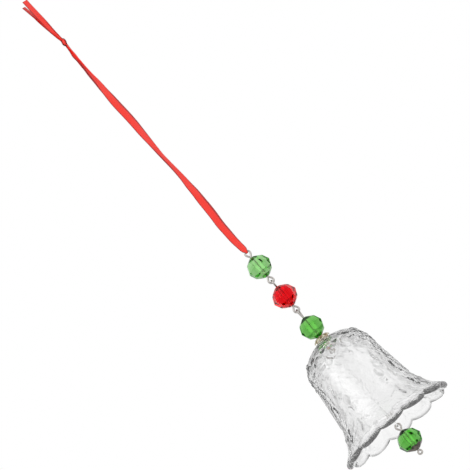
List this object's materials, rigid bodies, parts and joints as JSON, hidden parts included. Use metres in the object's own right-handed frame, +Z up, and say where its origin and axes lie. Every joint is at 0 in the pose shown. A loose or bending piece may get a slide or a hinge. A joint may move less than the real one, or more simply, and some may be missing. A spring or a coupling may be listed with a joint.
{
  "type": "glass wind chime",
  "caption": "Clear pressed glass bell with a scalloped rim and a bead clapper, hung under faceted glass beads on a red satin ribbon loop.",
  "frame": {"origin": "the point the chime hangs by, inside the ribbon loop just under the knot", "axes": "+Z up along the hanging string of beads, -Y towards the viewer of the picture, +X to the viewer's right"},
  "size_m": [0.051, 0.051, 0.2386],
  "materials": {
    "satin_ribbon": "woven satin with a soft sheen along its length",
    "plated_wire": "drawn wire, bright silver-coloured plating",
    "plated_steel": "stamped and tumbled washer",
    "light_green_glass": "clear light green glass, cut facets, fire polished",
    "red_glass": "clear red glass, cut facets, fire polished",
    "green_glass": "clear green glass, cut facets, fire polished",
    "gilt_brass": "stamped brass, gold-coloured plating",
    "clear_glass": "clear pressed glass with raised relief, fire-polished rim"
  },
  "bodies": {
    "ribbon": {"ribbon_front_strand": "satin_ribbon", "ribbon_back_strand": "satin_ribbon", "ribbon_knot": "satin_ribbon"},
    "top_pin": {"top_bead_pin": "plated_wire"},
    "top_bead": {"top_bead": "light_green_glass"},
    "middle_pin": {"middle_bead_pin": "plated_wire"},
    "middle_bead": {"middle_bead": "red_glass"},
    "bell_wire": {"bell_wire": "plated_wire", "crown_washer": "plated_steel"},
    "lower_bead": {"lower_bead": "green_glass"},
    "bead_cap": {"bead_cap": "gilt_brass"},
    "bell": {"glass_bell": "clear_glass"},
    "clapper_link": {"clapper_link": "plated_wire"},
    "clapper_pin": {"clapper_pin": "plated_wire"},
    "clapper_bead": {"clapper_bead": "green_glass"}
  },
  "joints": [
    {"name": "top_pin_swing", "type": "hinge", "parent": "ribbon", "child": "top_pin", "pos_m": [0, 0, -0.1078], "axis": [1, 0, 0], "range_deg": [-60, 60]},
    {"name": "top_bead_spin", "type": "hinge", "parent": "top_pin", "child": "top_bead", "pos_m": [0, 0, -0.1159], "axis": [0, 0, 1], "continuous": true},
    {"name": "middle_pin_swing", "type": "hinge", "parent": "top_pin", "child": "middle_pin", "pos_m": [0, 0, -0.12312], "axis": [0, 1, 0], "range_deg": [-60, 60]},
    {"name": "middle_bead_spin", "type": "hinge", "parent": "middle_pin", "child": "middle_bead", "pos_m": [0, 0, -0.13122], "axis": [0, 0, 1], "continuous": true},
    {"name": "bell_wire_swing", "type": "hinge", "parent": "middle_pin", "child": "bell_wire", "pos_m": [0, 0, -0.13932], "axis": [1, 0, 0], "range_deg": [-60, 60]},
    {"name": "lower_bead_spin", "type": "hinge", "parent": "bell_wire", "child": "lower_bead", "pos_m": [0, 0, -0.14744], "axis": [0, 0, 1], "continuous": true},
    {"name": "bead_cap_spin", "type": "hinge", "parent": "bell_wire", "child": "bead_cap", "pos_m": [0, 0, -0.15334], "axis": [0, 0, 1], "continuous": true},
    {"name": "bell_spin", "type": "hinge", "parent": "bell_wire", "child": "bell", "pos_m": [0, 0, -0.15524], "axis": [0, 0, 1], "continuous": true},
    {"name": "clapper_link_swing", "type": "hinge", "parent": "bell_wire", "child": "clapper_link", "pos_m": [0, 0, -0.15961], "axis": [0, 1, 0], "range_deg": [-20, 20]},
    {"name": "clapper_pin_swing", "type": "hinge", "parent": "clapper_link", "child": "clapper_pin", "pos_m": [0, 0, -0.19813], "axis": [1, 0, 0], "range_deg": [-35, 35]},
    {"name": "clapper_bead_spin", "type": "hinge", "parent": "clapper_pin", "child": "clapper_bead", "pos_m": [0, 0, -0.20623], "axis": [0, 0, 1], "continuous": true}
  ]
}
